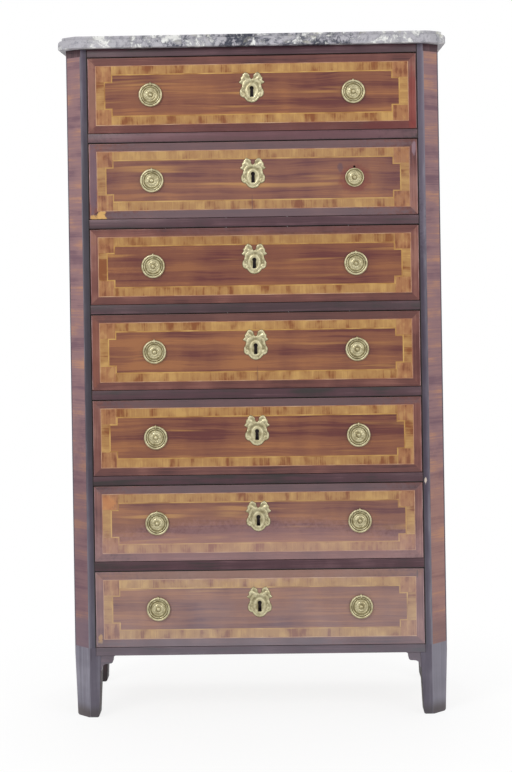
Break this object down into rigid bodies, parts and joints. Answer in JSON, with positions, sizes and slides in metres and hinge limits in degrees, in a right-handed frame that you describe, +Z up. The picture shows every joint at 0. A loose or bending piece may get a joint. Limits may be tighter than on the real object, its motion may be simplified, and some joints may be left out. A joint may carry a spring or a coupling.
{
  "type": "semainier",
  "caption": "Tall narrow chest of drawers with canted front corners, bracket feet, banded marquetry fronts, brass ring pulls and keyhole plates, and a grey marble top.",
  "frame": {"origin": "on the floor, at the middle of the marble top's width and depth", "axes": "+X to the right seen from the front, +Y to the back, +Z up; the drawers face -Y"},
  "size_m": [0.857, 0.388, 1.5],
  "materials": {
    "marble": "honed grey marble with white clouds and dark slate veins",
    "dark_veneer": "purple-brown veneer under an aged wax polish",
    "side_veneer": "quartered red-brown veneer with a crossbanded border",
    "drawer_marquetry": "red-brown field with a golden stepped band and a purple-red border, waxed",
    "plain_wood": "bare planed secondary wood, browned with age",
    "ormolu": "cast and chased gilt brass, worn pale",
    "steel": "filed steel lock bolt, darkened"
  },
  "bodies": {
    "carcass": {"marble_top": "marble", "left_front_stile": "dark_veneer", "right_front_stile": "dark_veneer", "left_rear_stile": "dark_veneer", "right_rear_stile": "dark_veneer", "left_side_panel": "side_veneer", "right_side_panel": "side_veneer", "left_foot_bracket": "dark_veneer", "right_foot_bracket": "dark_veneer", "back_panel": "plain_wood", "top_rail": "dark_veneer", "bottom_rail": "dark_veneer", "bottom_board": "plain_wood", "divider_1": "dark_veneer", "divider_2": "dark_veneer", "divider_3": "dark_veneer", "divider_4": "dark_veneer", "divider_5": "dark_veneer", "divider_6": "dark_veneer"},
    "drawer_1": {"drawer_front_1": "drawer_marquetry", "drawer_box_1": "plain_wood", "escutcheon_1": "ormolu"},
    "bolt_1": {"lock_bolt_1": "steel"},
    "left_ring_1": {"left_ring_handle_1": "ormolu"},
    "right_ring_1": {"right_ring_handle_1": "ormolu"},
    "drawer_2": {"drawer_front_2": "drawer_marquetry", "drawer_box_2": "plain_wood", "escutcheon_2": "ormolu"},
    "bolt_2": {"lock_bolt_2": "steel"},
    "left_ring_2": {"left_ring_handle_2": "ormolu"},
    "drawer_3": {"drawer_front_3": "drawer_marquetry", "drawer_box_3": "plain_wood", "escutcheon_3": "ormolu"},
    "bolt_3": {"lock_bolt_3": "steel"},
    "left_ring_3": {"left_ring_handle_3": "ormolu"},
    "right_ring_3": {"right_ring_handle_3": "ormolu"},
    "drawer_4": {"drawer_front_4": "drawer_marquetry", "drawer_box_4": "plain_wood", "escutcheon_4": "ormolu"},
    "bolt_4": {"lock_bolt_4": "steel"},
    "left_ring_4": {"left_ring_handle_4": "ormolu"},
    "right_ring_4": {"right_ring_handle_4": "ormolu"},
    "drawer_5": {"drawer_front_5": "drawer_marquetry", "drawer_box_5": "plain_wood", "escutcheon_5": "ormolu"},
    "bolt_5": {"lock_bolt_5": "steel"},
    "left_ring_5": {"left_ring_handle_5": "ormolu"},
    "right_ring_5": {"right_ring_handle_5": "ormolu"},
    "drawer_6": {"drawer_front_6": "drawer_marquetry", "drawer_box_6": "plain_wood", "escutcheon_6": "ormolu"},
    "bolt_6": {"lock_bolt_6": "steel"},
    "left_ring_6": {"left_ring_handle_6": "ormolu"},
    "right_ring_6": {"right_ring_handle_6": "ormolu"},
    "drawer_7": {"drawer_front_7": "drawer_marquetry", "drawer_box_7": "plain_wood", "escutcheon_7": "ormolu"},
    "bolt_7": {"lock_bolt_7": "steel"},
    "left_ring_7": {"left_ring_handle_7": "ormolu"},
    "right_ring_7": {"right_ring_handle_7": "ormolu"}
  },
  "joints": [
    {"name": "drawer_1_slide", "type": "slide", "parent": "carcass", "child": "drawer_1", "axis": [0, -1, 0], "range_m": [0, 0.27]},
    {"name": "bolt_1_throw", "type": "slide", "parent": "drawer_1", "child": "bolt_1", "axis": [0, 0, 1], "range_m": [0, 0.008]},
    {"name": "left_ring_1_hinge", "type": "hinge", "parent": "drawer_1", "child": "left_ring_1", "pos_m": [-0.223, -0.1794, 1.3931], "axis": [-1, 0, 0], "range_deg": [0, 170]},
    {"name": "right_ring_1_hinge", "type": "hinge", "parent": "drawer_1", "child": "right_ring_1", "pos_m": [0.223, -0.1794, 1.3931], "axis": [-1, 0, 0], "range_deg": [0, 170]},
    {"name": "drawer_2_slide", "type": "slide", "parent": "carcass", "child": "drawer_2", "axis": [0, -1, 0], "range_m": [0, 0.27]},
    {"name": "bolt_2_throw", "type": "slide", "parent": "drawer_2", "child": "bolt_2", "axis": [0, 0, 1], "range_m": [0, 0.008]},
    {"name": "left_ring_2_hinge", "type": "hinge", "parent": "drawer_2", "child": "left_ring_2", "pos_m": [-0.223, -0.1794, 1.2045], "axis": [-1, 0, 0], "range_deg": [0, 170]},
    {"name": "drawer_3_slide", "type": "slide", "parent": "carcass", "child": "drawer_3", "axis": [0, -1, 0], "range_m": [0, 0.27]},
    {"name": "bolt_3_throw", "type": "slide", "parent": "drawer_3", "child": "bolt_3", "axis": [0, 0, 1], "range_m": [0, 0.008]},
    {"name": "left_ring_3_hinge", "type": "hinge", "parent": "drawer_3", "child": "left_ring_3", "pos_m": [-0.223, -0.1794, 1.0159], "axis": [-1, 0, 0], "range_deg": [0, 170]},
    {"name": "right_ring_3_hinge", "type": "hinge", "parent": "drawer_3", "child": "right_ring_3", "pos_m": [0.223, -0.1794, 1.0159], "axis": [-1, 0, 0], "range_deg": [0, 170]},
    {"name": "drawer_4_slide", "type": "slide", "parent": "carcass", "child": "drawer_4", "axis": [0, -1, 0], "range_m": [0, 0.27]},
    {"name": "bolt_4_throw", "type": "slide", "parent": "drawer_4", "child": "bolt_4", "axis": [0, 0, 1], "range_m": [0, 0.008]},
    {"name": "left_ring_4_hinge", "type": "hinge", "parent": "drawer_4", "child": "left_ring_4", "pos_m": [-0.223, -0.1794, 0.8273], "axis": [-1, 0, 0], "range_deg": [0, 170]},
    {"name": "right_ring_4_hinge", "type": "hinge", "parent": "drawer_4", "child": "right_ring_4", "pos_m": [0.223, -0.1794, 0.8273], "axis": [-1, 0, 0], "range_deg": [0, 170]},
    {"name": "drawer_5_slide", "type": "slide", "parent": "carcass", "child": "drawer_5", "axis": [0, -1, 0], "range_m": [0, 0.27]},
    {"name": "bolt_5_throw", "type": "slide", "parent": "drawer_5", "child": "bolt_5", "axis": [0, 0, 1], "range_m": [0, 0.008]},
    {"name": "left_ring_5_hinge", "type": "hinge", "parent": "drawer_5", "child": "left_ring_5", "pos_m": [-0.223, -0.1794, 0.6387], "axis": [-1, 0, 0], "range_deg": [0, 170]},
    {"name": "right_ring_5_hinge", "type": "hinge", "parent": "drawer_5", "child": "right_ring_5", "pos_m": [0.223, -0.1794, 0.6387], "axis": [-1, 0, 0], "range_deg": [0, 170]},
    {"name": "drawer_6_slide", "type": "slide", "parent": "carcass", "child": "drawer_6", "axis": [0, -1, 0], "range_m": [0, 0.27]},
    {"name": "bolt_6_throw", "type": "slide", "parent": "drawer_6", "child": "bolt_6", "axis": [0, 0, 1], "range_m": [0, 0.008]},
    {"name": "left_ring_6_hinge", "type": "hinge", "parent": "drawer_6", "child": "left_ring_6", "pos_m": [-0.223, -0.1794, 0.4501], "axis": [-1, 0, 0], "range_deg": [0, 170]},
    {"name": "right_ring_6_hinge", "type": "hinge", "parent": "drawer_6", "child": "right_ring_6", "pos_m": [0.223, -0.1794, 0.4501], "axis": [-1, 0, 0], "range_deg": [0, 170]},
    {"name": "drawer_7_slide", "type": "slide", "parent": "carcass", "child": "drawer_7", "axis": [0, -1, 0], "range_m": [0, 0.27]},
    {"name": "bolt_7_throw", "type": "slide", "parent": "drawer_7", "child": "bolt_7", "axis": [0, 0, 1], "range_m": [0, 0.008]},
    {"name": "left_ring_7_hinge", "type": "hinge", "parent": "drawer_7", "child": "left_ring_7", "pos_m": [-0.223, -0.1794, 0.2615], "axis": [-1, 0, 0], "range_deg": [0, 170]},
    {"name": "right_ring_7_hinge", "type": "hinge", "parent": "drawer_7", "child": "right_ring_7", "pos_m": [0.223, -0.1794, 0.2615], "axis": [-1, 0, 0], "range_deg": [0, 170]}
  ]
}
